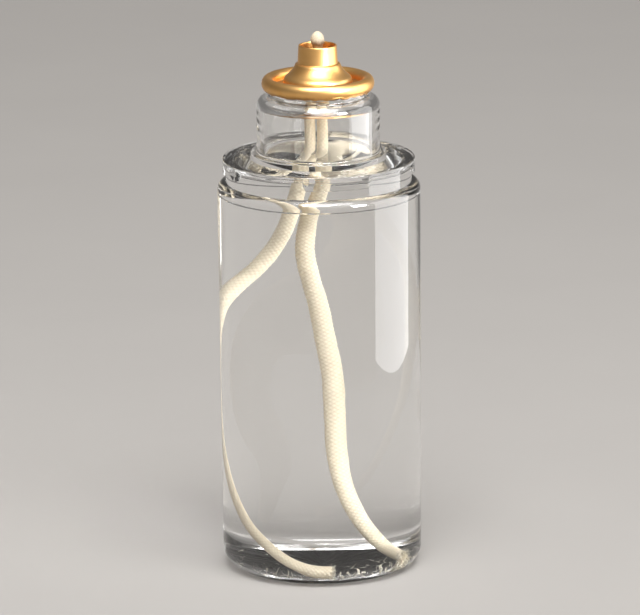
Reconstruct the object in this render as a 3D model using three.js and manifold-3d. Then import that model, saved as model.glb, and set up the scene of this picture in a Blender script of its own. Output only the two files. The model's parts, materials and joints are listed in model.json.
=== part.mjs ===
// A sealed table-lamp cartridge: a clear moulded bottle of lamp oil with a brass burner crimped on its neck.
// Millimetres, +Z up, origin at the centre of the foot. The front of the lamp faces -Y.
import * as THREE from 'three';
import Module from 'manifold-3d';
import { mergeVertices } from 'three/addons/utils/BufferGeometryUtils.js';

// ---- driving dimensions -------------------------------------------------------------------------
const fitGap = 0.3; // clearance left between any two pieces that touch on the real lamp

// the moulded cup
const cupRadius = 30; // outside radius at the shoulder
const cupDraft = 0.3; // the outside is this much slimmer at the foot
const cupHeight = 117.2; // foot to the top of the rounded rim
const cupWall = 2.5; // wall at the rim
const cupFloor = 2.2; // thickness of the floor
const footRound = 5.5; // outside rounding round the foot
const floorRound = 1.9; // inside rounding where wall meets floor

// the upper moulding: spigot, waist, collar, lugs and neck
const spigotDepth = 4; // how far it plugs into the cup
const spigotWall = 2.3;
const waistHeight = 6.9; // rim of the cup to the top of the collar
const collarOverhang = 1.2; // collar and lugs stand this much proud of the waist
const collarEdge = 1.1; // thickness of the collar's thin rim
const collarPlate = 2.2; // thickness of the plate that carries the neck
const collarSoftening = 0.35; // bevel of the collar's top edge
const discWidth = 1.9; // raised disc round the foot of the neck
const discHeight = 1.8;
const discBevel = 0.3;
const lugCount = 4;
const lugWidth = 20.6;
const lugDrop = 4.2; // top of the collar to the underside of a lug
const lugTurn = 11.6; // first lug's centre, degrees from the front towards +X
const lugCorner = 1.3; // rounding of a lug's lower corners
const neckShoulder = 3.5; // from the mouth's stem out to the side of the neck
const neckWall = 1.8;
const neckHeight = 18.6; // top of the collar to the top of the neck's round shoulder
const neckRound = 3; // rounding at the top of the neck
const neckRoundInside = 2.2;
const neckFillet = 0.5; // between the neck and the raised disc
const neckEntry = 0.6; // bevel where the neck's bore opens under the plate
const plateFillet = 0.9; // between the plate's underside and the spigot's bore

// the mouth, on which the burner is crimped
const beadRadius = 14.8; // centre of the bead's section
const beadHalfWidth = 0.9;
const beadHalfHeight = 1.3;
const beadRise = 3.6; // neck top to the centre of the bead
const stemWall = 0.8; // wall that carries the bead
const mouthRadius = 10.4; // bore of the mouth
const ledgeRise = 0.8; // neck top to the ledge that takes the seal
const mouthFloor = 1.4; // neck top down to the inside of the neck's roof
const stemFoot = 0.1; // the stem leaves the neck's shoulder this much above it

// the burner
const capSheet = 0.5; // brass sheet
const rollRoom = 0.4; // clearance between the bead and the rim rolled round it
const sealThickness = 0.75;
const bellRadius = 10.15;
const bellHeight = 6.7; // bottom of the gully to the foot of the chimney
const gullyRound = 0.45; // rise of the gully's round corners
const bellEdge = 1.9; // width of the bell's round shoulder
const bellEdgeHeight = 2.2;
const bellWall = 1.5; // height of the bell's upright wall above the gully
const bellFlare = [0.42, 0.66]; // where the hollow flank bends: shares of its width and of its height
const chimneyFillet = 0.15; // between the bell and the foot of the chimney
const chimneyFoot = 5.9; // outside radius at the foot of the chimney
const chimneyTop = 5.65;
const chimneyHeight = 5.3;
const holderSheet = 0.5;
const holderRim = 2.2; // height of the holder's upturned edge
const holderTubeHeight = 9.1;
const holderWall = 0.45;
const ventRadius = 0.7;
const ventSpread = 6; // centre of each vent from the lamp's axis
const slideFit = fitGap + 0.05; // clearance of a round piece that slides in a tube
const ferruleSheet = 0.45;
const ferruleCup = 4; // length of the wide part, which grips the feeder legs
const ferruleTube = 5.6; // length of the narrow part, which grips the tip

// the wick
const tipRadius = 1.6;
const tipKnobProud = 0.4; // the burnt knob is this much wider than the tip
const tipKnobBevel = 0.5;
const tipKnobHeight = 4.2;
const tipRise = 4; // the tip stands this far above the chimney
const feederRadius = 1.65;
const feederSpread = 1.9; // centre of each leg from the axis, in the ferrule

// the oil
const oilInNeck = 1.2; // surface of the oil above the collar's top

const roundSegments = 48;
const burnerSegments = 36;
const wickSegments = 20;
const feederSides = 8;
const feederSteps = 48;

// Centre line of each cotton leg, from the ferrule down to the floor of the cup.
const leftLegPoints = [
  [-1.9, 0, 144.3], [-1.9, 0, 140.8], [-2.5, 0, 137.2], [-2.45, 0, 131.2], [-2.5, 0.2, 126.5],
  [-3.6, 0.8, 121.5], [-4, 2.1, 116.5], [-4.9, 4.2, 110.5], [-6.3, 6.6, 102.9], [-8.1, 9, 96.4],
  [-10.9, 10.2, 89.8], [-14.6, 10, 83.7], [-17.6, 9, 78.7], [-20.2, 7.6, 72.7], [-22.6, 6, 65.7],
  [-24.4, 4.4, 57.7], [-25, 3, 48.7], [-25.2, 0.8, 39.7], [-25, -3.2, 32.2], [-23.6, -8.4, 24.2],
  [-19.9, -15, 15.9], [-14.2, -20.4, 10.2], [-9.3, -23.2, 6.9], [-4.6, -24.4, 5.1], [-1, -24.9, 4.5],
  [2.6, -24.9, 4.3],
];
const rightLegPoints = [
  [1.9, 0, 144.3], [1.9, 0, 140.8], [1.2, 0, 137.2], [1.25, 0, 131.2], [1.2, 0.2, 125.9],
  [0.75, 2, 119.2], [-0.2, 5, 113.1], [-1.5, 9, 107.4], [-2.15, 12.5, 101.3], [-2.35, 14, 94.2],
  [-1.5, 15.3, 86.5], [-0.3, 17.3, 78.1], [0.75, 19, 66.9], [1.7, 19.8, 55.8], [2, 19.5, 43.3],
  [2.4, 17.4, 31.7], [3.9, 12.8, 21.8], [7.4, 8.4, 11.9], [12.2, 2.8, 5.8], [17.2, -4, 4.25],
  [21.3, -10.2, 4.25],
];

// ---- places that follow from the sizes ----------------------------------------------------------
const cupBore = cupRadius - cupWall;
const spigotRadius = cupBore - fitGap;
const spigotBore = spigotRadius - spigotWall;
const collarRadius = spigotRadius + collarOverhang;
const collarTop = cupHeight + waistHeight;
const spigotFoot = cupHeight - spigotDepth;
const plateUnder = collarTop - collarPlate;
const neckTop = collarTop + neckHeight;
const beadZ = neckTop + beadRise;
const ledgeZ = neckTop + ledgeRise;
const stemBore = beadRadius - beadHalfWidth;
const stemRadius = stemBore + stemWall;
const neckRadius = stemRadius + neckShoulder;
const neckBore = neckRadius - neckWall;
const discRadius = neckRadius + discWidth;
const rimHalfWidth = beadHalfWidth + rollRoom + capSheet;
const rimHalfHeight = beadHalfHeight + rollRoom + capSheet;
const gullyZ = ledgeZ + fitGap + sealThickness + fitGap + capSheet;
const chimneyFootZ = gullyZ + gullyRound + bellHeight;
const chimneyTopZ = chimneyFootZ + chimneyHeight;
const holderZ = gullyZ;
const holderRadius = bellRadius - capSheet - 2 * fitGap;
const ferruleBore = feederSpread + feederRadius + slideFit;
const ferruleRoof = holderZ - fitGap;
const ferruleTubeBore = tipRadius + slideFit;
const ferruleTubeRadius = ferruleTubeBore + ferruleSheet;
const holderTubeBore = ferruleTubeRadius + slideFit;
const tipFoot = ferruleRoof - ferruleSheet;
const tipKnobRadius = tipRadius + tipKnobProud;
const oilLevel = collarTop + oilInNeck;

// ---- materials ----------------------------------------------------------------------------------
function finish(color, roughness, metalness, opacity = 1) {
  return new THREE.MeshStandardMaterial({ color, roughness, metalness, opacity, transparent: opacity < 1 });
}
const clearPlastic = finish(0xf1efec, 0.06, 0, 0.35);
const lampOil = finish(0xefe9df, 0.02, 0, 0.3);
const brass = finish(0xd9a24a, 0.3, 1);
const wickCotton = finish(0xe3d0a6, 0.9, 0);
const glassYarn = finish(0xf3ece2, 0.85, 0);
const sealRubber = finish(0xe9e6dd, 0.5, 0);

// ---- shape helpers ------------------------------------------------------------------------------
// Points on an ellipse in the (radius, height) half-plane, from one angle to another, in degrees.
function arc(r, z, halfWidth, halfHeight, from, to, steps) {
  const points = [];
  for (let i = 0; i <= steps; i += 1) {
    const a = THREE.MathUtils.degToRad(from + ((to - from) * i) / steps);
    points.push([r + halfWidth * Math.cos(a), z + halfHeight * Math.sin(a)]);
  }
  return points;
}

// Turns a profile about Z. It runs up the outside and down the inside, and closes on itself or on the axis.
function turned(profile, segments) {
  const points = profile.map(([r, z]) => new THREE.Vector2(r, z));
  const onAxis = profile[0][0] === 0 && profile.at(-1)[0] === 0;
  if (!onAxis) points.push(points[0].clone());
  return new THREE.LatheGeometry(points, segments).rotateX(Math.PI / 2);
}

// Closes a line into the section of a bent sheet that lies on its left.
function sheet(line, thickness) {
  const inner = line.map(([r, z], i) => {
    const [r0, z0] = line[Math.max(i - 1, 0)];
    const [r1, z1] = line[Math.min(i + 1, line.length - 1)];
    const length = Math.hypot(r1 - r0, z1 - z0);
    return [r - (thickness * (z1 - z0)) / length, z + (thickness * (r1 - r0)) / length];
  });
  return [...line, ...inner.reverse()];
}

function cordCurve(points) {
  return new THREE.CatmullRomCurve3(points.map((p) => new THREE.Vector3(...p)), false, 'centripetal');
}

function cordTube(points, radius) {
  const section = new THREE.Shape();
  for (let i = 0; i < feederSides; i += 1) {
    const a = (2 * i * Math.PI) / feederSides;
    if (i === 0) section.moveTo(radius, 0);
    else section.lineTo(radius * Math.cos(a), radius * Math.sin(a));
  }
  section.closePath();
  return new THREE.ExtrudeGeometry(section, {
    steps: feederSteps,
    extrudePath: cordCurve(points),
    bevelEnabled: false,
  });
}

const wasm = await Module();
wasm.setup();

function toSolid(geometry) {
  const bare = geometry.clone();
  bare.deleteAttribute('normal');
  bare.deleteAttribute('uv');
  const merged = mergeVertices(bare, 1e-4);
  return new wasm.Manifold(new wasm.Mesh({
    numProp: 3,
    vertProperties: new Float32Array(merged.attributes.position.array),
    triVerts: new Uint32Array(merged.index.array),
  }));
}

function toGeometry(solid) {
  const mesh = solid.getMesh();
  const geometry = new THREE.BufferGeometry();
  geometry.setAttribute('position', new THREE.BufferAttribute(mesh.vertProperties, 3));
  geometry.setIndex(new THREE.BufferAttribute(mesh.triVerts, 1));
  geometry.computeVertexNormals();
  return geometry;
}

const lamp = new THREE.Group();

function addPiece(name, geometry, material) {
  const mesh = new THREE.Mesh(geometry, material);
  mesh.name = name;
  lamp.add(mesh);
}

// ---- the bottle ---------------------------------------------------------------------------------
function bottleCup() {
  const footRadius = cupRadius - cupDraft;
  return turned([
    [0, 0],
    ...arc(footRadius - footRound, footRound, footRound, footRound, -90, 0, 5),
    ...arc(cupRadius - cupWall, cupHeight - cupWall, cupWall, cupWall, 0, 90, 4),
    ...arc(cupBore - floorRound, cupFloor + floorRound, floorRound, floorRound, 0, -90, 3),
    [0, cupFloor],
  ], roundSegments);
}

function lugSolid(turn) {
  const ring = toSolid(turned([
    [spigotRadius - spigotWall / 2, collarTop - lugDrop],
    [collarRadius, collarTop - lugDrop],
    [collarRadius, collarTop - collarEdge / 2],
    [spigotRadius - spigotWall / 2, collarTop - collarEdge / 2],
  ], roundSegments));
  const half = lugWidth / 2;
  const face = new THREE.Shape();
  face.moveTo(-half, lugDrop);
  face.lineTo(-half, lugCorner);
  face.absarc(-half + lugCorner, lugCorner, lugCorner, Math.PI, 1.5 * Math.PI, false);
  face.absarc(half - lugCorner, lugCorner, lugCorner, 1.5 * Math.PI, 2 * Math.PI, false);
  face.lineTo(half, lugDrop);
  face.closePath();
  const depth = collarRadius + collarOverhang;
  const block = new THREE.ExtrudeGeometry(face, { depth, curveSegments: 4, bevelEnabled: false });
  block.rotateX(Math.PI / 2);
  block.translate(0, 0, collarTop - lugDrop);
  block.rotateZ(THREE.MathUtils.degToRad(turn));
  return ring.intersect(toSolid(block));
}

function bottleTop() {
  const roof = neckTop - mouthFloor;
  const inside = neckRoundInside;
  const moulding = turned([
    [spigotRadius, spigotFoot],
    [spigotRadius, collarTop - collarEdge],
    [collarRadius, collarTop - collarEdge],
    [collarRadius, collarTop - collarSoftening],
    [collarRadius - collarSoftening, collarTop],
    [discRadius, collarTop],
    [discRadius - discBevel, collarTop + discHeight],
    [neckRadius + neckFillet, collarTop + discHeight],
    [neckRadius, collarTop + discHeight + neckFillet],
    ...arc(neckRadius - neckRound, neckTop - neckRound, neckRound, neckRound, 0, 90, 4),
    [stemRadius, neckTop + stemFoot],
    ...arc(beadRadius, beadZ, beadHalfWidth, beadHalfHeight, -100, 180, 8),
    [stemBore, ledgeZ],
    [mouthRadius, ledgeZ],
    [mouthRadius, roof],
    ...arc(neckBore - inside, roof - inside, inside, inside, 90, 0, 3),
    [neckBore, plateUnder + neckEntry],
    [neckBore + neckEntry, plateUnder],
    [spigotBore - plateFillet, plateUnder],
    [spigotBore, plateUnder - plateFillet],
    [spigotBore, spigotFoot],
  ], roundSegments);
  let solid = toSolid(moulding);
  for (let i = 0; i < lugCount; i += 1) solid = solid.add(lugSolid(lugTurn + (360 * i) / lugCount));
  return toGeometry(solid);
}

function mouthSeal() {
  return turned([
    [mouthRadius + fitGap, ledgeZ + fitGap],
    [stemBore - fitGap, ledgeZ + fitGap],
    [stemBore - fitGap, ledgeZ + fitGap + sealThickness],
    [mouthRadius + fitGap, ledgeZ + fitGap + sealThickness],
  ], burnerSegments);
}

// ---- the burner ---------------------------------------------------------------------------------
function burnerCap() {
  const gullyOuter = beadRadius - rimHalfWidth;
  const gullyCorner = Math.min(gullyRound, (gullyOuter - bellRadius) / 5);
  const shoulder = bellRadius - bellEdge;
  const flareRadius = chimneyFoot + bellFlare[0] * (bellRadius - chimneyFoot);
  const flareZ = gullyZ + bellFlare[1] * (chimneyFootZ - gullyZ);
  return turned(sheet([
    ...arc(beadRadius, beadZ, rimHalfWidth, rimHalfHeight, -75, 180, 10),
    [gullyOuter - 0.6 * gullyCorner, gullyZ + gullyRound],
    [gullyOuter - 1.8 * gullyCorner, gullyZ],
    [bellRadius + 1.8 * gullyCorner, gullyZ],
    [bellRadius + 0.6 * gullyCorner, gullyZ + gullyRound],
    ...arc(shoulder, gullyZ + bellWall, bellEdge, bellEdgeHeight, 0, 60, 4),
    [flareRadius, flareZ],
    [chimneyFoot + 2 * chimneyFillet, chimneyFootZ - 2 * chimneyFillet],
    [chimneyFoot, chimneyFootZ + 2 * chimneyFillet],
    [chimneyTop, chimneyTopZ],
  ], capSheet), burnerSegments);
}

function wickHolder() {
  const tubeRadius = holderTubeBore + holderWall;
  const body = turned([
    [holderTubeBore, holderZ],
    [holderRadius, holderZ],
    [holderRadius, holderZ + holderRim],
    [holderRadius - holderSheet, holderZ + holderRim],
    [holderRadius - holderSheet, holderZ + holderSheet],
    [tubeRadius, holderZ + holderSheet],
    [tubeRadius, holderZ + holderTubeHeight],
    [holderTubeBore, holderZ + holderTubeHeight],
  ], burnerSegments);
  let solid = toSolid(body);
  for (const side of [-1, 1]) {
    const drill = new THREE.CylinderGeometry(ventRadius, ventRadius, 4 * holderSheet, 12);
    drill.rotateX(Math.PI / 2);
    drill.translate(0, side * ventSpread, holderZ + holderSheet / 2);
    solid = solid.subtract(toSolid(drill));
  }
  return toGeometry(solid);
}

function wickFerrule() {
  return turned([
    [ferruleBore, ferruleRoof - ferruleCup],
    [ferruleBore + ferruleSheet, ferruleRoof - ferruleCup],
    [ferruleBore + ferruleSheet, ferruleRoof],
    [ferruleTubeRadius, ferruleRoof],
    [ferruleTubeRadius, ferruleRoof + ferruleTube],
    [ferruleTubeBore, ferruleRoof + ferruleTube],
    [ferruleTubeBore, ferruleRoof - ferruleSheet],
    [ferruleBore, ferruleRoof - ferruleSheet],
  ], burnerSegments);
}

// ---- the wick -----------------------------------------------------------------------------------
function wickTip() {
  const top = chimneyTopZ + tipRise;
  const knob = top - tipKnobHeight;
  return turned([
    [0, tipFoot],
    [tipRadius, tipFoot],
    [tipRadius, knob],
    [tipKnobRadius, knob + tipKnobBevel],
    ...arc(0, top - tipKnobRadius, tipKnobRadius, tipKnobRadius, 0, 72, 4),
    [0, top],
  ], wickSegments);
}

// ---- the oil ------------------------------------------------------------------------------------
// Fills the cup, the waist and the foot of the neck, and leaves room round both legs. The room is a little wider
// than the gap, because the legs are tubes of few sides.
function oilBody() {
  const round = floorRound;
  const spigotInside = spigotBore - fitGap;
  const legRoom = (1.1 * fitGap) / Math.cos(Math.PI / feederSides);
  let solid = toSolid(turned([
    [0, cupFloor + fitGap],
    ...arc(cupBore - fitGap - round, cupFloor + fitGap + round, round, round, -90, 0, 3),
    [cupBore - fitGap, spigotFoot - fitGap],
    [spigotInside, spigotFoot - fitGap],
    [spigotInside, plateUnder - plateFillet - fitGap],
    [spigotInside - plateFillet, plateUnder - fitGap],
    [neckBore, plateUnder - fitGap],
    [neckBore - fitGap, plateUnder + neckEntry],
    [neckBore - fitGap, oilLevel],
    [0, oilLevel],
  ], roundSegments));
  for (const points of [leftLegPoints, rightLegPoints]) {
    const end = new THREE.SphereGeometry(feederRadius + 1.6 * fitGap, 12, 8);
    end.translate(...points.at(-1));
    solid = solid.subtract(toSolid(cordTube(points, feederRadius + legRoom)));
    solid = solid.subtract(toSolid(end));
  }
  return toGeometry(solid);
}

addPiece('bottle_cup', bottleCup(), clearPlastic);
addPiece('bottle_top', bottleTop(), clearPlastic);
addPiece('mouth_seal', mouthSeal(), sealRubber);
addPiece('burner_cap', burnerCap(), brass);
addPiece('wick_holder', wickHolder(), brass);
addPiece('wick_ferrule', wickFerrule(), brass);
addPiece('wick_tip', wickTip(), glassYarn);
addPiece('feeder_wick_left', cordTube(leftLegPoints, feederRadius), wickCotton);
addPiece('feeder_wick_right', cordTube(rightLegPoints, feederRadius), wickCotton);
addPiece('lamp_oil', oilBody(), lampOil);

export default lamp;
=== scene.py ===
"""A sealed lamp-oil cartridge: a clear moulded bottle, a spun brass burner and a braided wick in oil."""
import json
import math
import random

import bmesh
import bpy
from mathutils import Matrix, Quaternion, Vector, noise


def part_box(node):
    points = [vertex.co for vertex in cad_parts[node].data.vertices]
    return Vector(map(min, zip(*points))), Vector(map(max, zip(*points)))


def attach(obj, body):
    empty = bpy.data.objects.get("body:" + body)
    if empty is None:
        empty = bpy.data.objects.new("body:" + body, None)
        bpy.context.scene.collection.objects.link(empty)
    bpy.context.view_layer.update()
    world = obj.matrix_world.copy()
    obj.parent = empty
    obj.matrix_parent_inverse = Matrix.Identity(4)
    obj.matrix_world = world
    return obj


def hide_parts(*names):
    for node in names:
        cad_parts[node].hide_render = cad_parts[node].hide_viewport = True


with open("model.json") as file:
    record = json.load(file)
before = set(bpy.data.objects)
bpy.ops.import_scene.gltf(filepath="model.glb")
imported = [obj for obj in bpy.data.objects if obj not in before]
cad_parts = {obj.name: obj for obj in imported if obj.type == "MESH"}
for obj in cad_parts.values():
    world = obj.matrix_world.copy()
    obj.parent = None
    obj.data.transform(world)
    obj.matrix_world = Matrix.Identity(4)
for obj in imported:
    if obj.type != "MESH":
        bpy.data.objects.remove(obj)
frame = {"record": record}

MM = 0.001
DEGREE = math.pi / 180
FULL_TURN = 2 * math.pi
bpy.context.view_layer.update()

# ---- sizes taken from the frame -----------------------------------------------------------------
cup_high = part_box("bottle_cup")[1]
top_low, top_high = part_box("bottle_top")
cap_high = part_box("burner_cap")[1]
seal_low, seal_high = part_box("mouth_seal")
holder_low, holder_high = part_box("wick_holder")
ferrule_low, ferrule_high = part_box("wick_ferrule")
tip_low, tip_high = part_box("wick_tip")
oil_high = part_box("lamp_oil")[1]
mounts = {mount["name"]: mount["pos_m"] for mount in frame["record"]["mounts"]}

cup_radius = cup_high.x
cup_height = cup_high.z
collar_top = mounts["collar_top"][2]
collar_radius = top_high.x
spigot_foot = top_low.z
oil_level = oil_high.z

# ---- sizes of the mouldings ---------------------------------------------------------------------
cup_draft = 0.3 * MM
cup_wall = 2.5 * MM
cup_floor = 2.2 * MM
foot_round = 5.5 * MM
floor_round = 1.9 * MM
weld_gap = 0.01 * MM  # the two mouldings are fused here, and each keeps its own skin
spigot_wall = 2.3 * MM
collar_edge = 1.1 * MM
collar_plate = 2.2 * MM
edge_round = 0.35 * MM
lug_count = 4
lug_width = 20.6 * MM
lug_drop = 4.2 * MM
lug_turn = 11.6 * DEGREE  # the first lug's centre, from the front towards +X
lug_corner = 1.3 * MM
disc_rise = 1.8 * MM
disc_width = 1.9 * MM
neck_height = 18.6 * MM
neck_shoulder = 3.5 * MM
neck_wall = 1.8 * MM
neck_round = 3 * MM
neck_round_inside = 2.2 * MM
neck_fillet = 0.5 * MM
plate_fillet = 0.9 * MM
plate_corner = 0.6 * MM
bead_radius = 14.8 * MM
bead_half_width = 0.9 * MM
bead_half_height = 1.3 * MM
bead_rise = 3.6 * MM
stem_wall = 0.8 * MM
mouth_radius = 10.4 * MM
ledge_rise = 0.8 * MM
mouth_floor = 1.4 * MM

cup_bore = cup_radius - cup_wall
weld_radius = cup_bore - weld_gap
spigot_bore = weld_radius - spigot_wall
plate_under = collar_top - collar_plate
neck_top = collar_top + neck_height
stem_bore = bead_radius - bead_half_width
stem_radius = stem_bore + stem_wall
neck_radius = stem_radius + neck_shoulder
neck_bore = neck_radius - neck_wall
disc_radius = neck_radius + disc_width
bead_z = neck_top + bead_rise
ledge_z = neck_top + ledge_rise

# ---- sizes of the burner and the wick -----------------------------------------------------------
cap_sheet = 0.5 * MM
rim_half_width = 1.8 * MM
rim_half_height = 2.2 * MM
gully_z = holder_low.z
gully_round = 0.45 * MM
bell_radius = 10.15 * MM
bell_edge = 1.9 * MM
bell_edge_height = 2.2 * MM
bell_wall = 1.5 * MM
bell_height = 6.7 * MM
chimney_foot = 5.9 * MM
chimney_top = 5.65 * MM
holder_wall = 0.45 * MM
holder_sheet = 0.5 * MM
ferrule_sheet = 0.45 * MM
ferrule_cup = 4 * MM
tip_radius = 1.6 * MM
tip_knob_radius = tip_high.x
tip_knob_height = 4.2 * MM
leg_radius = 1.65 * MM
sleeve_gap = 0.35 * MM
ferrule_tube_radius = tip_radius + sleeve_gap + ferrule_sheet

# Centre line of each cotton leg, from the crimp sleeve down to the floor of the cup.
left_leg_points = [
    (-0.0019, 0, 0.1443), (-0.0019, 0, 0.1408), (-0.0025, 0, 0.1372), (-0.00245, 0, 0.1312),
    (-0.0025, 0.0002, 0.1265), (-0.0036, 0.0008, 0.1215), (-0.004, 0.0021, 0.1165),
    (-0.0049, 0.0042, 0.1105), (-0.0063, 0.0066, 0.1029), (-0.0081, 0.009, 0.0964),
    (-0.0109, 0.0102, 0.0898), (-0.0146, 0.01, 0.0837), (-0.0176, 0.009, 0.0787),
    (-0.0202, 0.0076, 0.0727), (-0.0226, 0.006, 0.0657), (-0.0244, 0.0044, 0.0577),
    (-0.025, 0.003, 0.0487), (-0.0252, 0.0008, 0.0397), (-0.025, -0.0032, 0.0322),
    (-0.0236, -0.0084, 0.0242), (-0.0199, -0.015, 0.0159), (-0.0142, -0.0204, 0.0102),
    (-0.0093, -0.0232, 0.0069), (-0.0046, -0.0244, 0.0051), (-0.001, -0.0249, 0.0045),
    (0.0026, -0.0249, 0.0043),
]
right_leg_points = [
    (0.0019, 0, 0.1443), (0.0019, 0, 0.1408), (0.0012, 0, 0.1372), (0.00125, 0, 0.1312),
    (0.0012, 0.0002, 0.1259), (0.00075, 0.002, 0.1192), (-0.0002, 0.005, 0.1131),
    (-0.0015, 0.009, 0.1074), (-0.00215, 0.0125, 0.1013), (-0.00235, 0.014, 0.0942),
    (-0.0015, 0.0153, 0.0865), (-0.0003, 0.0173, 0.0781), (0.00075, 0.019, 0.0669),
    (0.0017, 0.0198, 0.0558), (0.002, 0.0195, 0.0433), (0.0024, 0.0174, 0.0317),
    (0.0039, 0.0128, 0.0218), (0.0074, 0.0084, 0.0119), (0.0122, 0.0028, 0.0058),
    (0.0172, -0.004, 0.00425), (0.0213, -0.0102, 0.00425),
]


# ---- camera -------------------------------------------------------------------------------------
def place_camera():
    data = bpy.data.cameras.new("view")
    data.lens = 312.5
    camera = bpy.data.objects.new("view", data)
    bpy.context.scene.collection.objects.link(camera)
    pitch, lean = 14.3 * DEGREE, -0.55 * DEGREE
    distance = 1650 * MM
    target = Vector((0, 0, 78.15 * MM))
    back = Vector((0, -math.cos(pitch), math.sin(pitch)))
    camera.location = target + distance * back
    camera.rotation_mode = "QUATERNION"
    camera.rotation_quaternion = (-back).to_track_quat("-Z", "Y") @ Quaternion((0, 0, 1), lean)
    bpy.context.scene.camera = camera


# ---- making materials ---------------------------------------------------------------------------
class Signal:
    """A value in a material. Python's operators on it add Math nodes."""

    def __init__(self, tree, socket):
        self.tree = tree
        self.socket = socket

    def maths(self, operation, *values):
        return self.tree.add("ShaderNodeMath", {"operation": operation}, *values)

    def __add__(self, other):
        return self.maths("ADD", self, other)

    def __radd__(self, other):
        return self.maths("ADD", other, self)

    def __mul__(self, other):
        return self.maths("MULTIPLY", self, other)

    def __rmul__(self, other):
        return self.maths("MULTIPLY", other, self)

    def root(self):
        return self.maths("SQRT", self)

    def between(self, low, high):
        """0 below low and 1 above high, with an even ramp between them."""
        return self.tree.add("ShaderNodeMapRange", {"clamp": True}, self, low, high, 0.0, 1.0)


class NodeTree:
    """Adds nodes to a material or to the world."""

    def __init__(self, tree):
        self.nodes = tree.nodes
        self.links = tree.links

    def join(self, value, socket):
        if isinstance(value, Signal):
            self.links.new(value.socket, socket)
        elif value is not None:
            socket.default_value = value

    def add(self, kind, settings, *values, output=0, **named):
        """A node of that kind. Its settings go first, then the values or links of its sockets."""
        node = self.nodes.new(kind)
        for key, value in settings.items():
            if key == "stops":
                ramp = node.color_ramp.elements
                for i, (place, colour) in enumerate(value):
                    stop = ramp[i] if i < 2 else ramp.new(place)
                    stop.position = place
                    stop.color = (*colour, 1)
            else:
                setattr(node, key, value)
        for i, value in enumerate(values):
            self.join(value, node.inputs[i])
        for key, value in named.items():
            self.join(value, node.inputs[key.replace("_", " ")])
        return Signal(self, node.outputs[output])

    def parts(self, vector):
        split = self.add("ShaderNodeSeparateXYZ", {}, vector).socket.node
        return [Signal(self, socket) for socket in split.outputs]


class Finish(NodeTree):
    """A material under construction round one Principled shader."""

    def __init__(self, name):
        self.material = bpy.data.materials.new(name)
        self.material.use_nodes = True
        super().__init__(self.material.node_tree)
        self.shader = next(n for n in self.nodes if n.type == "BSDF_PRINCIPLED")

    def place(self):
        return self.add("ShaderNodeTexCoord", {}, output="Object")

    def attribute(self, name, output="Fac"):
        return self.add("ShaderNodeAttribute", {"attribute_name": name}, output=output)

    def vector(self, x, y, z):
        return self.add("ShaderNodeCombineXYZ", {}, x, y, z)

    def stretched(self, scale):
        return self.add("ShaderNodeMapping", {}, Vector=self.place(), Scale=scale)

    def grain(self, where, scale, detail=2.0, roughness=0.5):
        return self.add(
            "ShaderNodeTexNoise", {}, Vector=where, Scale=scale, Detail=detail, Roughness=roughness
        )

    def blend(self, share, first, second, way="MIX"):
        """A colour between two colours, or the two mixed in another way."""
        settings = {"data_type": "RGBA", "blend_type": way}
        mixed = self.add("ShaderNodeMix", settings, output="Result").socket.node
        sockets = [socket for socket in mixed.inputs if socket.enabled]
        for value, socket in zip((share, first, second), sockets):
            if isinstance(value, tuple):
                value = (*value, 1)
            self.join(value, socket)
        return Signal(self, next(socket for socket in mixed.outputs if socket.enabled))

    def bump(self, height, depth, strength=1.0):
        """Lets a height from 0 to 1 stand depth proud of the surface."""
        bumped = self.add(
            "ShaderNodeBump", {}, Height=height, Distance=depth, Strength=strength
        )
        self.set(Normal=bumped)

    def set(self, **sockets):
        for key, value in sockets.items():
            if isinstance(value, tuple):
                value = (*value, 1)
            self.join(value, self.shader.inputs[key.replace("_", " ")])


def darker(tone, share):
    return tuple(share * c for c in tone)


def clear_finish(name, index, colour=(1, 1, 1)):
    """Something to see through. Its index is what lies behind the face over what lies in front."""
    finish = Finish(name)
    finish.set(Base_Color=colour, Roughness=0.0, IOR=index, Transmission_Weight=1.0)
    return finish.material


def brass_finish(name, tone, shade, painted_rim_shade):
    """Lacquered brass, brushed in rings on a lathe, with painted shade under the rim."""
    finish = Finish(name)
    place = finish.place()
    x, y, z = finish.parts(place)
    radius = (x * x + y * y).root()
    rings = finish.grain(finish.vector(radius, z, 0.0), 5200, 3.0, 0.7)
    cloud = finish.grain(place, 210, 3.0, 0.6)
    # painted shade: the brass below the bead turns dark amber, standing in for the dark reflection under the
    # rim
    under = z.between(bead_z + 0.6 * MM, bead_z - rim_half_height)
    worn = finish.blend(cloud.between(0.3, 0.75), tone, shade)
    finish.set(
        Base_Color=finish.blend(under * (0.7 + cloud * 0.5), worn, painted_rim_shade),
        Roughness=0.3 + rings * 0.08 + cloud * 0.08,
        Metallic=1.0,
    )
    finish.bump(rings * 0.8 + cloud * 0.2, 0.006 * MM)
    return finish.material


def cotton_finish(name, light, dark_fibre_and_gap_shade, tan):
    """Unbleached cotton yarn, tan above the oil, with painted shade in the gaps between strands. The crown
    attribute is 1 on a strand and 0 in the gaps.
    """
    finish = Finish(name)
    place = finish.place()
    height = finish.parts(place)[2]
    crown = finish.attribute("crown")
    fibre = finish.grain(finish.attribute("along", "Vector"), 1.0, 3.0, 0.65)
    patch = finish.grain(place, 420, 2.0)
    # painted shade: the gaps between strands (low crown) take the dark colour, mixed with random fibre and
    # patch tone
    shade = (crown * 0.6 + fibre * 0.35 + patch * 0.2).between(0.05, 0.75)
    yarn = finish.blend(shade, dark_fibre_and_gap_shade, light)
    above = height.between(oil_level - 2 * MM, neck_top) * 0.75
    tanned = finish.blend(1.0, yarn, tan, "MULTIPLY")
    finish.set(
        Base_Color=finish.blend(above, yarn, tanned),
        Roughness=0.88,
        Sheen_Weight=0.1,
        Specular_IOR_Level=0.15,
    )
    finish.bump(fibre, 0.04 * MM, 0.8)
    return finish.material


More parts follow.
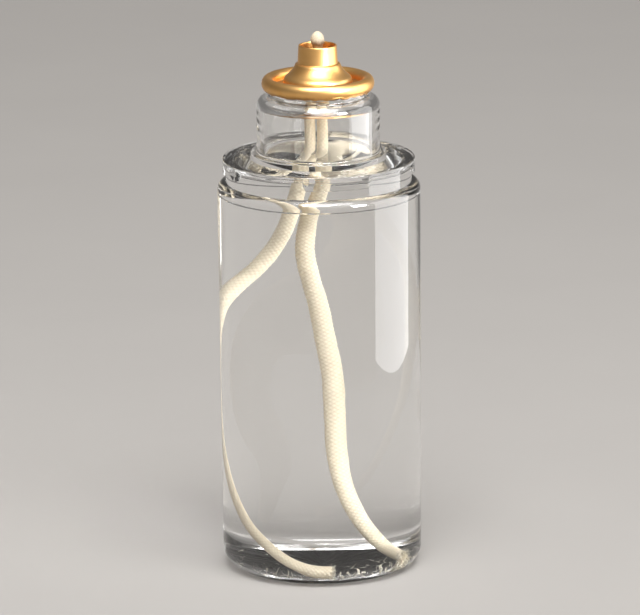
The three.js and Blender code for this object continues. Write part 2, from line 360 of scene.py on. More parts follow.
def lint_finish(name, tone):
    finish = Finish(name)
    cloud = finish.grain(finish.place(), 900, 2.0)
    finish.set(Base_Color=finish.blend(cloud, darker(tone, 0.82), tone), Roughness=0.9)
    return finish.material


def yarn_finish(name, white, scorched):
    """White glass yarn, scorched tan below the knob."""
    finish = Finish(name)
    knob = tip_high.z - tip_knob_height
    height = finish.parts(finish.place())[2]
    strands = finish.grain(finish.stretched((1, 1, 0.4)), 3800, 3.0, 0.7)
    tone = finish.blend(height.between(knob + 0.2 * MM, knob + 1.7 * MM), scorched, white)
    dusk = finish.blend(strands.between(0.3, 0.6), darker(white, 0.84), (1, 1, 1))
    finish.set(Base_Color=finish.blend(1.0, tone, dusk, "MULTIPLY"), Roughness=0.7)
    finish.bump(strands, 0.1 * MM)
    return finish.material


def rubber_finish(name, tone):
    finish = Finish(name)
    cloud = finish.grain(finish.place(), 700, 3.0)
    finish.set(
        Base_Color=finish.blend(cloud, darker(tone, 0.9), tone), Roughness=0.45 + cloud * 0.15
    )
    finish.bump(cloud, 0.02 * MM)
    return finish.material


def floor_finish():
    finish = Finish("studio_floor")
    cloud = finish.grain(finish.place(), 14, 3.0)
    tone = finish.blend(cloud, (0.475, 0.455, 0.435), (0.5, 0.48, 0.458))
    finish.set(Base_Color=tone, Roughness=0.75, Specular_IOR_Level=0.0)
    return finish.material


# ---- modelling by hand --------------------------------------------------------------------------
def arc(r, z, half_width, half_height, start, end, steps):
    """Points on an ellipse in the (radius, height) half-plane, between two angles in degrees."""
    turns = [(start + (end - start) * i / steps) * DEGREE for i in range(steps + 1)]
    return [(r + half_width * math.cos(a), z + half_height * math.sin(a)) for a in turns]


def bend(start, corner, end, steps):
    """Points on a curve from start, which is left out, to end, drawn towards a corner between them."""
    points = []
    for i in range(1, steps + 1):
        t = i / steps
        points.append(tuple(
            (1 - t) ** 2 * a + 2 * t * (1 - t) * b + t * t * c for a, b, c in zip(start, corner, end)
        ))
    return points


def to_object_mode():
    if bpy.context.object and bpy.context.object.mode != "OBJECT":
        bpy.ops.object.mode_set(mode="OBJECT")


def draw_line(name, profile, turn=0.0):
    """A new piece, open in edit mode, that holds a line through the points of a profile."""
    to_object_mode()
    bpy.ops.object.select_all(action="DESELECT")
    bpy.ops.mesh.primitive_plane_add(size=MM)
    piece = bpy.context.object
    piece.name = name
    bpy.ops.object.mode_set(mode="EDIT")
    bpy.ops.mesh.select_all(action="SELECT")
    bpy.ops.mesh.merge(type="CENTER")
    places = [Vector((r * math.cos(turn), r * math.sin(turn), z)) for r, z in profile]
    bpy.ops.transform.translate(value=places[0])
    for before, after in zip(places, places[1:]):
        step = {"value": after - before}
        bpy.ops.mesh.extrude_vertices_move(TRANSFORM_OT_translate=step)
    return piece


def spin_line(sectors):
    """Spins the open line about the Z axis, through each sector in turn, and closes the mesh."""
    bpy.ops.mesh.select_all(action="SELECT")
    for angle, steps in sectors:
        bpy.ops.mesh.spin(steps=steps, angle=angle, center=(0, 0, 0), axis=(0, 0, 1))
    bpy.ops.mesh.select_all(action="SELECT")
    bpy.ops.mesh.remove_doubles(threshold=0.002 * MM)
    bpy.ops.mesh.normals_make_consistent(inside=False)


def finish_mesh(piece, *materials, sharp=35):
    to_object_mode()
    bpy.ops.object.select_all(action="DESELECT")
    piece.select_set(True)
    bpy.context.view_layer.objects.active = piece
    bpy.ops.object.shade_smooth_by_angle(angle=sharp * DEGREE)
    for material in materials:
        piece.data.materials.append(material)
    return piece


def turned_piece(name, profile, material, steps=128, sharp=35):
    piece = draw_line(name, profile)
    spin_line([(FULL_TURN, steps)])
    return finish_mesh(piece, material, sharp=sharp)


def bare_mesh(piece):
    """The mesh of a piece in edit mode, with nothing selected."""
    mesh = bmesh.from_edit_mesh(piece.data)
    for part in (mesh.verts, mesh.edges, mesh.faces):
        for item in part:
            item.select = False
    return mesh


def select_faces(piece, wanted):
    """Selects, in edit mode, the faces whose centre passes the test."""
    mesh = bare_mesh(piece)
    for face in mesh.faces:
        if wanted(face.calc_center_median()):
            face.select_set(True)
    bmesh.update_edit_mesh(piece.data)


def select_points(piece, wanted):
    mesh = bare_mesh(piece)
    for point in mesh.verts:
        point.select = wanted(point.co)
    mesh.select_flush_mode()
    bmesh.update_edit_mesh(piece.data)


def select_edges(piece, wanted):
    """Selects, in edit mode, the edges whose two ends and whose fold, in degrees, pass the test."""
    mesh = bare_mesh(piece)
    for edge in mesh.edges:
        if wanted(edge.verts[0].co, edge.verts[1].co, edge.calc_face_angle(0) / DEGREE):
            edge.select_set(True)
    bmesh.update_edit_mesh(piece.data)


def keep(piece, *nodes, slot, body="root"):
    """Lets a finished piece ride on the frame in place of its nodes."""
    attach(piece, body)
    if nodes:
        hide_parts(*nodes)


def paint_faces(piece, choose):
    """Gives each face the material slot that its centre calls for."""
    for face in piece.data.polygons:
        face.material_index = choose(Vector(face.center))


# ---- the wick's legs ----------------------------------------------------------------------------
def smooth_route(points, step):
    """Points about a step apart on the centripetal curve through a cord's chosen points."""
    knots = [Vector(p) for p in points]
    knots = [2 * knots[0] - knots[1], *knots, 2 * knots[-1] - knots[-2]]
    route = []
    for before, start, end, after in zip(knots, knots[1:], knots[2:], knots[3:]):
        pairs = ((before, start), (start, end), (end, after))
        past, span, ahead = [math.sqrt((b - a).length) for a, b in pairs]
        chord = (end - start) / span
        leave = span * ((start - before) / past - (end - before) / (past + span) + chord)
        arrive = span * (chord - (after - start) / (span + ahead) + (after - end) / ahead)
        count = max(1, round((end - start).length / step))
        for i in range(count):
            t = i / count
            cubic = 2 * start - 2 * end + leave + arrive
            square = -3 * start + 3 * end - 2 * leave - arrive
            route.append(start + t * leave + t * t * square + t * t * t * cubic)
    route.append(knots[-2])
    return route


def route_frames(route):
    """The direction and two crosswise directions at each point of a route, with no twist."""
    tangents = []
    for i in range(len(route)):
        ahead, behind = route[min(i + 1, len(route) - 1)], route[max(i - 1, 0)]
        tangents.append((ahead - behind).normalized())
    side = tangents[0].orthogonal().normalized()
    frames = []
    for tangent in tangents:
        side = (side - side.dot(tangent) * tangent).normalized()
        frames.append((tangent, side, tangent.cross(side)))
    return frames


def tube(rings):
    """Points and faces of a closed skin over rings that each have the same number of points."""
    around = len(rings[0])
    points = [point for ring in rings for point in ring]
    faces = []
    for i in range(len(rings) - 1):
        for k in range(around):
            a, b = i * around + k, i * around + (k + 1) % around
            faces.append((a, a + around, b + around, b))
    first, last = len(points), len(points) + 1
    points += [sum(rings[0], Vector()) / around, sum(rings[-1], Vector()) / around]
    start = (len(rings) - 1) * around
    for k in range(around):
        faces.append((first, k, (k + 1) % around))
        faces.append((last, start + (k + 1) % around, start + k))
    return points, faces


def new_mesh(name, points, faces):
    data = bpy.data.meshes.new(name)
    data.from_pydata([tuple(p) for p in points], [], faces)
    data.update()
    piece = bpy.data.objects.new(name, data)
    bpy.context.scene.collection.objects.link(piece)
    return piece


braid_strands = 8  # each way round
braid_lay = 10 * MM  # length in which a strand goes once round
braid_depth = 0.24 * MM
fuzz_hairs = 900
fray_yarns = 34
fray_hairs = 320
lint_scraps = 210


def braid(turn, distance):
    """Height, from 0 to 1, of a round braid at a place on the cord, and the strand on top there."""
    first = braid_strands * (turn + distance / braid_lay)
    second = braid_strands * (turn - distance / braid_lay)
    over = (math.floor(first) + math.floor(second)) % 2 == 0
    across, along = (first, second) if over else (second, first)
    across = 2 * (across - math.floor(across)) - 1
    along = 2 * (along - math.floor(along)) - 1
    crown = math.sqrt(max(0.0, 1 - across * across)) * (1 - 0.55 * along * along)
    return crown, over


def braided_leg(name, points, seed):
    """A braided cotton cord: the strands stand up from the skin and cross over each other."""
    around, step = 64, 0.24 * MM
    route = smooth_route(points, step)
    rings, crowns, fibres = [], [], []
    distance = 0.0
    for i, (centre, (tangent, side, up)) in enumerate(zip(route, route_frames(route))):
        distance += (centre - route[i - 1]).length if i else 0.0
        swell = 1 + 0.035 * noise.noise(Vector((seed, 0, distance / (5 * MM))))
        ring = []
        for k in range(around):
            turn = k / around
            crown, over = braid(turn, distance)
            angle = turn * FULL_TURN
            outward = math.cos(angle) * side + math.sin(angle) * up
            lump = 0.05 * MM * noise.noise(Vector((4 * turn, seed, distance / (1.1 * MM))))
            radius = (leg_radius - braid_depth * (1 - crown)) * swell + lump
            ring.append(centre + radius * outward)
            crowns.append(crown)
            lean = distance / MM + (1 if over else -1) * turn * 9.0
            fibres.append((lean * 0.55, turn * 9.7 * 5.2, seed + (7 if over else 0)))
        rings.append(ring)
    mesh_points, faces = tube(rings)
    crowns += [0.5, 0.5]
    fibres += [(0, 0, 0), (0, 0, 0)]
    piece = new_mesh(name, mesh_points, faces)
    height = piece.data.attributes.new("crown", "FLOAT", "POINT")
    height.data.foreach_set("value", crowns)
    along = piece.data.attributes.new("along", "FLOAT_VECTOR", "POINT")
    along.data.foreach_set("vector", [value for triple in fibres for value in triple])
    finish_mesh(piece, cotton)
    route_length(route)
    [tuple(p) for p in route[::4] + [route[-1]]]
    return piece, route


def route_length(route):
    return sum((b - a).length for a, b in zip(route, route[1:]))


def three_sided(place, heading, radius):
    """A triangle of points round a place, square to a heading."""
    side = heading.orthogonal().normalized()
    up = heading.cross(side)
    corners = (0, FULL_TURN / 3, 2 * FULL_TURN / 3)
    return [place + radius * (math.cos(a) * side + math.sin(a) * up) for a in corners]


def fibre(start, direction, length, thickness, waver, draw, steps):
    """Points and faces of one loose fibre: a thin three-sided tube that wanders as it goes."""
    place, heading = start.copy(), direction.normalized()
    rings = []
    for i in range(steps + 1):
        rings.append(three_sided(place, heading, thickness * (1 - 0.6 * i / steps)))
        place = place + heading * (length / steps)
        wander = Vector([draw.uniform(-1, 1) for _ in range(3)])
        heading = (heading + waver * wander).normalized()
    return tube(rings)


def bundle(name, fibres, material):
    """One piece made of many fibres."""
    points, faces = [], []
    for more_points, more_faces in fibres:
        base = len(points)
        points += more_points
        faces += [tuple(base + i for i in face) for face in more_faces]
    return finish_mesh(new_mesh(name, points, faces), material)


def inside_cup(point, margin):
    """Moves a point clear of the cup's wall and floor."""
    reach = cup_bore - margin
    radius = math.hypot(point.x, point.y)
    if radius > reach:
        point = Vector((point.x * reach / radius, point.y * reach / radius, point.z))
    return Vector((point.x, point.y, max(point.z, cup_floor + margin)))


def leg_fuzz(name, route, seed, count):
    """Short hairs that stand off the braid along its length."""
    draw = random.Random(seed)
    frames = route_frames(route)
    hairs = []
    for _ in range(count):
        i = draw.randrange(40, len(route) - 2)
        tangent, side, up = frames[i]
        angle = draw.uniform(0, FULL_TURN)
        outward = math.cos(angle) * side + math.sin(angle) * up
        start = route[i] + (leg_radius - 0.3 * MM) * outward
        along = draw.uniform(-1.6, 1.6) * tangent
        aside = draw.uniform(-0.9, 0.9) * tangent.cross(outward)
        lean = outward + along + aside
        length = draw.uniform(0.35, 1.0) * MM
        hairs.append(fibre(start, lean, length, draw.uniform(0.012, 0.03) * MM, 0.5, draw, 3))
    return bundle(name, hairs, loose_cotton)


def frayed_end(name, route, seed, yarns, hairs, spread, reach):
    """The cut end of a leg, opened into its yarns and fine hairs."""
    draw = random.Random(seed)
    tangent, side, up = route_frames(route)[-1]
    end = route[-1]
    strands = []
    for i in range(yarns + hairs):
        thin = i >= yarns
        angle = draw.uniform(0, FULL_TURN)
        out = math.cos(angle) * side + math.sin(angle) * up
        radius = leg_radius * math.sqrt(draw.uniform(0, 0.8))
        start = end - draw.uniform(0.2, 1.2) * MM * tangent + radius * out
        outward = spread * draw.uniform(0.1, 1) * out
        heading = tangent + outward + Vector((0, 0, draw.uniform(-0.15, 0.3)))
        length = reach * draw.uniform(0.35, 1)
        thickness = draw.uniform(0.025, 0.05) * MM if thin else draw.uniform(0.14, 0.24) * MM
        strands.append(fibre(start, heading, length, thickness, 0.55 if thin else 0.25, draw, 6))
    kept = [([inside_cup(p, 0.25 * MM) for p in points], faces) for points, faces in strands]
    return bundle(name, kept, loose_cotton)


def curl(start, heading, length, thickness, turn, draw):
    """Points and faces of a scrap that bends evenly to one side as it goes."""
    steps, place = 8, start.copy()
    rings = []
    for i in range(steps + 1):
        rings.append(three_sided(place, heading, thickness * (1 - 0.5 * i / steps)))
        place = place + heading * (length / steps)
        heading = Matrix.Rotation(turn / steps, 3, "Z") @ heading
        heading = (heading + Vector((0, 0, draw.uniform(-0.12, 0.12)))).normalized()
    return tube(rings)


def loose_lint(name, seed, count):
    """Scraps and curls of cotton on the floor of the cup, mostly in front and near the cut ends."""
    draw = random.Random(seed)
    ends = [Vector(points[-1]) for points in (left_leg_points, right_leg_points)]
    scraps = []
    for i in range(count):
        if i % 3 == 0:
            near = draw.choice(ends)
            place = near + Vector((draw.gauss(0, 4), draw.gauss(0, 4), 0)) * MM
        else:
            angle = draw.gauss(-80, 60) * DEGREE
            radius = (cup_bore - 1.2 * MM) * math.sqrt(draw.uniform(0.2, 1))
            place = Vector((radius * math.cos(angle), radius * math.sin(angle), 0))
        place = inside_cup(Vector((place.x, place.y, cup_floor + draw.uniform(0.3, 1.1) * MM)), 0.6 * MM)
        heading = Vector((draw.uniform(-1, 1), draw.uniform(-1, 1), draw.uniform(-0.1, 0.4)))
        heading.normalize()
        length, thickness = draw.uniform(0.4, 2.0) * MM, draw.uniform(0.04, 0.09) * MM
        points, faces = curl(place, heading, length, thickness, draw.uniform(-4.5, 4.5), draw)
        scraps.append(([inside_cup(p, 0.12 * MM) for p in points], faces))
    return bundle(name, scraps, loose_cotton)


# ---- the bottle ---------------------------------------------------------------------------------
plastic_index = 1.58
oil_index = 1.44
dry, wetted, fused = 0, 1, 2  # a face against air, against oil, or welded to its neighbour
near = 0.05 * MM  # how close to a surface counts as on it
corner_steps = 4


def clear_cup():
    rise = cup_height - cup_wall
    profile = [
        (0, 0),
        *arc(cup_radius - cup_draft - foot_round, foot_round, foot_round, foot_round, -90, 0, 14),
        *arc(cup_bore, rise, cup_wall, cup_wall, 0, 90, 10),
        (cup_bore, spigot_foot),
        *arc(cup_bore - floor_round, cup_floor + floor_round, floor_round, floor_round, 0, -90, 10),
        (0, cup_floor),
    ]
    piece = draw_line("clear_cup", profile)
    spin_line([(FULL_TURN, 192)])
    finish_mesh(piece, plastic, plastic_in_oil, weld)

    def face_kind(centre):
        radius = math.hypot(centre.x, centre.y)
        inner = radius < cup_bore + near and centre.z > cup_floor - 0.1 * MM
        if not inner:
            return dry
        return fused if centre.z > spigot_foot else wetted

    paint_faces(piece, face_kind)
    keep(piece, "bottle_cup", slot="clear_plastic")


def clear_top():
    under = collar_top - collar_edge
    disc_top = collar_top + disc_rise
    roof = neck_top - mouth_floor
    inside = neck_round_inside
    wet_line = oil_level + 1.1 * MM
    profile = [
        (weld_radius, spigot_foot),
        (weld_radius, cup_height),
        (weld_radius, collar_top - lug_drop),
        (weld_radius, under),
        (collar_radius, under),
        *arc(collar_radius - edge_round, collar_top - edge_round, edge_round, edge_round, 0, 90, 4),
        (disc_radius, collar_top),
        *arc(disc_radius - edge_round, disc_top - edge_round, edge_round, edge_round, 0, 90, 4),
        *arc(neck_radius + neck_fillet, disc_top + neck_fillet, neck_fillet, neck_fillet, 270, 180, 5),
        *arc(neck_radius - neck_round, neck_top - neck_round, neck_round, neck_round, 0, 90, 12),
        *arc(stem_radius + 0.3 * MM, neck_top + 0.3 * MM, 0.3 * MM, 0.3 * MM, 270, 180, 3),
        *arc(bead_radius, bead_z, bead_half_width, bead_half_height, -95, 180, 16),
        (stem_bore, ledge_z),
        (mouth_radius, ledge_z),
        (mouth_radius, roof),
        (neck_bore - inside, roof),
        (neck_bore, roof - inside),
        (neck_bore, wet_line),
        *arc(neck_bore + plate_corner, plate_under + plate_corner, plate_corner, plate_corner, 180, 270, 4),
        *arc(spigot_bore - plate_fillet, plate_under - plate_fillet, plate_fillet, plate_fillet, 90, 0, 5),
        (spigot_bore, spigot_foot),
    ]
    profile.append(profile[0])
    half_lug = math.asin(lug_width / 2 / collar_radius)
    corner = lug_corner / collar_radius
    first_lug = -90 * DEGREE + lug_turn
    piece = draw_line("clear_top", profile, first_lug - half_lug)
    gap = FULL_TURN / lug_count - 2 * half_lug
    lug = [(corner, corner_steps), (2 * (half_lug - corner), 20), (corner, corner_steps)]
    spin_line([*lug, (gap, 25)] * lug_count)

    def from_lug_end(centre):
        """How far a place is round the collar from the nearer end of a lug, inside the lug."""
        turn = (math.atan2(centre.y, centre.x) - first_lug) % (FULL_TURN / lug_count)
        turn = min(turn, FULL_TURN / lug_count - turn)
        return (half_lug - turn) * collar_radius

    def in_waist_band(centre):
        radius = math.hypot(centre.x, centre.y)
        on_wall = abs(radius - weld_radius) < near and collar_top - lug_drop < centre.z < under
        return on_wall and from_lug_end(centre) > 0

    def doubled(centre):
        radius = math.hypot(centre.x, centre.y)
        flat = abs(centre.z - under) < 0.01 * MM and weld_radius < radius < collar_radius
        return flat and from_lug_end(centre) > 0

    select_faces(piece, in_waist_band)
    bpy.ops.mesh.extrude_region_move()
    swell = collar_radius / weld_radius
    bpy.ops.transform.resize(value=(swell, swell, 1), center_override=(0, 0, 0))
    select_faces(piece, doubled)
    bpy.ops.mesh.delete(type="FACE")
    for i in range(corner_steps):
        reach = lug_corner * i / corner_steps
        lift = lug_corner - math.sqrt(lug_corner**2 - (lug_corner - reach) ** 2)

        def on_corner(point, reach=reach):
            foot = abs(point.z - (collar_top - lug_drop)) < 0.01 * MM
            outside = math.hypot(point.x, point.y) > weld_radius - near
            return foot and outside and abs(from_lug_end(point) - reach) < 0.08 * MM

        select_points(piece, on_corner)
        bpy.ops.transform.translate(value=(0, 0, lift))
    bpy.ops.mesh.select_all(action="SELECT")
    bpy.ops.mesh.remove_doubles(threshold=0.002 * MM)
    bpy.ops.mesh.normals_make_consistent(inside=False)

    def on_outline(start, end, fold):
        ends = (start, end)
        outside = all(math.hypot(point.x, point.y) > collar_radius - 0.03 * MM for point in ends)
        return outside and all(point.z < under + 0.01 * MM for point in ends) and fold > 40

    select_edges(piece, on_outline)
    bpy.ops.mesh.bevel(offset=0.24 * MM, segments=3, affect="EDGES")
    finish_mesh(piece, plastic, plastic_in_oil, weld)

    def face_kind(centre):
        radius = math.hypot(centre.x, centre.y)
        if centre.z < cup_height and radius > weld_radius - near:
            return fused
        in_neck = radius < neck_bore + 0.7 * MM and centre.z < wet_line
        in_spigot = radius < spigot_bore + near and centre.z < plate_under + near
        on_foot = centre.z < spigot_foot + near
        return wetted if in_neck or in_spigot or on_foot else dry

    paint_faces(piece, face_kind)
    keep(piece, "bottle_top", slot="clear_plastic")


def oil_fill():
    """The oil, just inside the walls. Its skin bends light only where it meets the air in the neck."""
    gap = 0.05 * MM
    round_ = floor_round - gap
    creep = 1.0 * MM
    inner = neck_bore - gap
    surface = [
        (inner - creep * (1 - (1 - i / 8) ** 0.5) * 1.6, oil_level + creep * (1 - i / 8) ** 2)
        for i in range(9)
    ]
    profile = [
        (0, cup_floor + gap),
        *arc(cup_bore - gap - round_, cup_floor + gap + round_, round_, round_, -90, 0, 8),
        (cup_bore - gap, spigot_foot - gap),
        (spigot_bore - gap, spigot_foot - gap),
        (spigot_bore - gap, plate_under - plate_fillet),
        (spigot_bore - plate_fillet, plate_under - gap),
        (neck_bore + plate_corner, plate_under - gap),
        (inner, plate_under + plate_corner),
        *surface,
        (0, oil_level),
    ]
    piece = draw_line("oil_fill", profile)
    spin_line([(FULL_TURN, 128)])
    finish_mesh(piece, oil_surface, oil_skin, sharp=60)

    def face_kind(centre):
        radius = math.hypot(centre.x, centre.y)
        return 0 if centre.z > oil_level - 0.01 * MM and radius < inner - 0.001 * MM else 1

    paint_faces(piece, face_kind)
    keep(piece, "lamp_oil", slot="lamp_oil")


# ---- the burner ---------------------------------------------------------------------------------
def sheet(line, thickness, lip):
    """The closed section of a bent sheet to the left of a line, its last edge rounded over a lip's length."""
    inner = []
    for i, (r, z) in enumerate(line):
        r0, z0 = line[max(i - 1, 0)]
        r1, z1 = line[min(i + 1, len(line) - 1)]
        length = math.hypot(r1 - r0, z1 - z0)
        inner.append((r - thickness * (z1 - z0) / length, z + thickness * (r1 - r0) / length))

    def edge(outside, inside, forward, reach):
        middle_r, middle_z = (outside[0] + inside[0]) / 2, (outside[1] + inside[1]) / 2
        half_r, half_z = (outside[0] - inside[0]) / 2, (outside[1] - inside[1]) / 2
        turn = [angle * DEGREE for angle in (72, 54, 30, 0, -30, -54, -72)]
        return [
            (
                middle_r + half_r * math.sin(a) + math.cos(a) * forward[0] * reach,
                middle_z + half_z * math.sin(a) + math.cos(a) * forward[1] * reach,
            )
            for a in turn
        ]

    def unit(a, b):
        length = math.hypot(b[0] - a[0], b[1] - a[1])
        return ((b[0] - a[0]) / length, (b[1] - a[1]) / length)

    last = edge(line[-1], inner[-1], unit(line[-2], line[-1]), lip)
    first = edge(inner[0], line[0], unit(line[1], line[0]), thickness / 2)
    return [*line, *last, *reversed(inner), *first, line[0]]


def burner_shell():
    """Rim, gully, bell and chimney, drawn from one sheet and crimped under the mouth's bead."""
    chimney_z = gully_z + gully_round + bell_height
    gully_outer = bead_radius - rim_half_width
    shoulder = arc(bell_radius - bell_edge, gully_z + bell_wall, bell_edge, bell_edge_height, 0, 58, 10)
    ledge = arc(chimney_foot + 0.25 * MM, chimney_z - 0.75 * MM, 0.6 * MM, 0.6 * MM, 41, 90, 6)
    hollow = (chimney_foot + 0.36 * (bell_radius - chimney_foot), gully_z + 0.645 * (chimney_z - gully_z))
    lip = 0.42 * MM
    line = [
        *arc(bead_radius, bead_z, rim_half_width, rim_half_height, -80, 180, 30),
        *arc(gully_outer - 0.7 * MM, gully_z + 0.7 * MM, 0.7 * MM, 0.7 * MM, 0, -90, 6),
        *arc(bell_radius + 0.6 * MM, gully_z + 0.6 * MM, 0.6 * MM, 0.6 * MM, 270, 190, 5),
        *shoulder,
        *bend(shoulder[-1], hollow, ledge[0], 8),
        *ledge[1:],
        *arc(chimney_foot + 0.15 * MM, chimney_z, 0.15 * MM, 0.15 * MM, 270, 184, 3),
        (chimney_top, cap_high.z - lip),
    ]
    piece = turned_piece("burner_shell", sheet(line, cap_sheet, lip), brass, 144, sharp=50)
    for point in piece.data.vertices:
        radius = math.hypot(point.co.x, point.co.y)
        tucked = (bead_z - 1.2 * MM - point.co.z) / MM
        if tucked > 0 and radius > bead_radius - 0.8 * MM:
            around = Vector((point.co.x, point.co.y, 0)) * (9 / radius)
            point.co.z += 0.5 * MM * tucked * (noise.noise(around) + 0.5 * noise.noise(2.7 * around))
    keep(piece, "burner_cap", slot="brass")


def holder_cup():
    tube_bore = ferrule_tube_radius + sleeve_gap
    tube_radius = tube_bore + holder_wall
    foot, rim, top = holder_low.z, holder_low.z + 2.2 * MM, holder_high.z
    outer = holder_high.x
    profile = [
        (tube_bore, foot), (outer - 0.4 * MM, foot), (outer, foot + 0.4 * MM), (outer, rim),
        (outer - holder_sheet, rim), (outer - holder_sheet, foot + 2 * holder_sheet),
        (outer - 2 * holder_sheet, foot + holder_sheet), (tube_radius + 0.4 * MM, foot + holder_sheet),
        (tube_radius, foot + holder_sheet + 0.4 * MM), (tube_radius, top), (tube_bore, top),
        (tube_bore, foot),
    ]
    keep(turned_piece("holder_cup", profile, brass, 72), "wick_holder", slot="brass")


def crimp_sleeve():
    tube_bore = tip_radius + sleeve_gap
    outer = ferrule_high.x
    bore = outer - ferrule_sheet
    roof = ferrule_low.z + ferrule_cup
    mouth = ferrule_low.z
    profile = [
        (bore, mouth), (outer, mouth), (outer, mouth + 1.2 * MM), (outer - 0.25 * MM, mouth + 1.6 * MM),
        (outer, mouth + 2 * MM), (outer, roof - 0.5 * MM), (outer - 0.5 * MM, roof),
        (ferrule_tube_radius + 0.3 * MM, roof), (ferrule_tube_radius, roof + 0.3 * MM),
        (ferrule_tube_radius, ferrule_high.z), (tube_bore, ferrule_high.z), (tube_bore, roof - ferrule_sheet),
        (bore, roof - ferrule_sheet), (bore, mouth),
    ]
    keep(turned_piece("crimp_sleeve", profile, brass, 72), "wick_ferrule", slot="brass")


def mouth_gasket():
    inner, outer = mouth_radius + 0.3 * MM, seal_high.x
    bottom, top = seal_low.z, seal_high.z
    edge = 0.15 * MM
    profile = [
        (inner, bottom + edge), (inner + edge, bottom), (outer - edge, bottom), (outer, bottom + edge),
        (outer, top - edge), (outer - edge, top), (inner + edge, top), (inner, top - edge),
        (inner, bottom + edge),
    ]
    keep(turned_piece("mouth_gasket", profile, rubber, 96), "mouth_seal", slot="seal")


def knob_outline(knob):
    """Half-section of the burnt knob: its radius at each rise above its foot."""
    section = [
        (0, 1.55), (0.2, 1.57), (0.4, 1.74), (0.7, 1.87), (1.1, 1.98), (1.65, 2.02), (2.2, 1.96),
        (2.75, 1.79), (3.25, 1.52), (3.65, 1.15), (3.95, 0.74), (4.14, 0.36), (4.2, 0.1),
    ]
    return [(radius * MM, knob + rise * MM) for rise, radius in section]


def glass_yarn_tip():
    """A bundle of glass yarn, lightly grooved along its length, that has mushroomed where it burns."""
    around, strands, hair_count = 96, 17, 300
    foot, knob = tip_low.z, tip_high.z - tip_knob_height
    outline = [(0.98 * tip_radius, foot + (knob - 0.4 * MM - foot) * i / 20) for i in range(21)]
    rings = []
    for radius, z in outline + knob_outline(knob):
        ring = []
        for k in range(around):
            turn = k / around
            a = turn * FULL_TURN
            groove = abs(math.sin(math.pi * strands * (turn + (z - foot) / (60 * MM)))) ** 0.5
            place = Vector((math.cos(a), math.sin(a), 0.45 * z / MM))
            rough = 0.06 * noise.noise(2.1 * place) + 0.05 * noise.noise(6.3 * place)
            r = radius * (0.955 + 0.035 * groove + rough)
            skirt = 0.55 * MM * noise.noise(Vector((3 * math.cos(a), 3 * math.sin(a), 3)))
            drop = skirt if knob < z < knob + 1.2 * MM else 0.0
            ring.append(Vector((r * math.cos(a), r * math.sin(a), z + drop)))
        rings.append(ring)
    piece = new_mesh("glass_yarn_tip", *tube(rings))
    finish_mesh(piece, glass_yarn, sharp=60)
    draw = random.Random(17)
    hairs = []
    for _ in range(hair_count):
        a, rise = draw.uniform(0, FULL_TURN), draw.uniform(0.02, 1)
        radius = (1.9 - 1.3 * max(0.0, rise - 0.6) / 0.4) * MM
        out = Vector((math.cos(a), math.sin(a), 0.2 + rise))
        start = Vector((radius * math.cos(a), radius * math.sin(a), knob + (0.35 + 3.5 * rise) * MM))
        hairs.append(fibre(start, out, draw.uniform(0.12, 0.32) * MM, 0.025 * MM, 0.5, draw, 3))
    keep(piece, "wick_tip", slot="glass_yarn")
    keep(bundle("glass_yarn_hairs", hairs, glass_yarn), slot="glass_yarn")


# ---- the studio ---------------------------------------------------------------------------------
def soft_box(name, place, aim, width, height, watts, on_diffuse=True):
    data = bpy.data.lights.new(name, "AREA")
    data.shape = "RECTANGLE"
    data.size, data.size_y = width, height
    data.energy = watts
    light = bpy.data.objects.new(name, data)
    bpy.context.scene.collection.objects.link(light)
    light.location = place
    light.rotation_mode = "QUATERNION"
    light.rotation_quaternion = (Vector(aim) - Vector(place)).to_track_quat("-Z", "Y")
    light.visible_camera = False
    light.visible_diffuse = on_diffuse


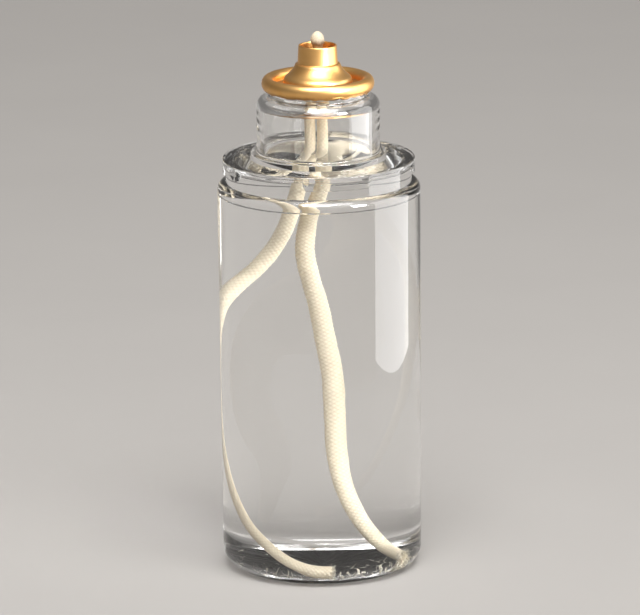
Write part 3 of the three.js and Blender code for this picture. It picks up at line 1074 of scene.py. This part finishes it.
def studio():
    to_object_mode()
    bpy.ops.object.select_all(action="DESELECT")
    bpy.ops.mesh.primitive_circle_add(vertices=96, radius=30, fill_type="TRIFAN")
    floor = bpy.context.object
    floor.name = "studio_floor"
    floor.data.materials.append(floor_finish())

    world = bpy.data.worlds.new("studio_air")
    bpy.context.scene.world = world
    world.use_nodes = True
    air = NodeTree(world.node_tree)
    rise = air.parts(air.add("ShaderNodeTexCoord", {}, output="Generated"))[2]
    greys = [(0.03, 0.33), (0.12, 0.19), (0.45, 0.19), (0.8, 0.3)]
    stops = [(height, (grey, 0.96 * grey, 0.92 * grey)) for height, grey in greys]
    background = air.nodes["Background"]
    air.join(air.add("ShaderNodeValToRGB", {"stops": stops}, rise), background.inputs["Color"])
    background.inputs["Strength"].default_value = 1.0

    sky = bpy.data.lights.new("soft_sky", "SUN")
    sky.energy, sky.angle = 1.3, 60 * DEGREE
    sun = bpy.data.objects.new("soft_sky", sky)
    bpy.context.scene.collection.objects.link(sun)
    sun.rotation_euler = (38 * DEGREE, 0, 24 * DEGREE)
    soft_box("overhead", (0.1, -0.45, 1.15), (0, 0, 0.1), 0.9, 0.7, 12)
    soft_box("side_strip", (0.25, -0.005, 0.152), (0, -0.005, 0.152), 0.25, 0.295, 0.8, on_diffuse=False)
    soft_box("burner_panel", (0.44, -0.41, 0.36), (0, 0, 0.155), 0.2, 0.32, 7, on_diffuse=False)
    soft_box("front_panel", (0, -0.5, 0.78), (0, 0, 0.15), 0.5, 0.22, 5, on_diffuse=False)
    bpy.context.scene.view_settings.view_transform = "Standard"
    bounces = 32  # enough for light that runs along inside the walls
    cycles = bpy.context.scene.cycles
    cycles.max_bounces = cycles.transmission_bounces = cycles.glossy_bounces = bounces


# ---- putting the lamp together ------------------------------------------------------------------
place_camera()

# the second cotton colour is random fibre tone and painted shade in the gaps between strands
cotton = cotton_finish("cotton_braid", (0.96, 0.86, 0.67), (0.68, 0.54, 0.34), (0.88, 0.73, 0.52))
loose_cotton = lint_finish("cotton_lint", (0.96, 0.90, 0.76))
plastic = clear_finish("clear_plastic", plastic_index, (0.985, 0.985, 0.98))
plastic_in_oil = clear_finish("clear_plastic_in_oil", plastic_index / oil_index)
weld = clear_finish("plastic_weld", 1.0)
oil_surface = clear_finish("oil_surface", oil_index)
oil_skin = clear_finish("oil_skin", 1.0)
# the last brass colour is painted shade under the rim
brass = brass_finish("spun_brass", (0.86, 0.52, 0.20), (0.80, 0.44, 0.14), (0.58, 0.29, 0.08))
rubber = rubber_finish("seal_rubber", (0.72, 0.70, 0.64))
glass_yarn = yarn_finish("glass_yarn", (0.97, 0.85, 0.66), (0.62, 0.33, 0.11))

for side, points, seed in (("left", left_leg_points, 3), ("right", right_leg_points, 8)):
    leg, route = braided_leg(side + "_feeder", points, seed)
    keep(leg, "feeder_wick_" + side, slot="wick_cotton")
    keep(leg_fuzz(side + "_feeder_fuzz", route, seed, fuzz_hairs), slot="wick_cotton")
    spread, reach = (0.5, 2.0 * MM) if side == "left" else (1.1, 3.6 * MM)
    end = frayed_end(side + "_feeder_fray", route, seed + 1, fray_yarns, fray_hairs, spread, reach)
    keep(end, slot="wick_cotton")
keep(loose_lint("loose_lint", 21, lint_scraps), slot="wick_cotton")

clear_cup()
clear_top()
oil_fill()
burner_shell()
holder_cup()
crimp_sleeve()
mouth_gasket()
glass_yarn_tip()
studio()
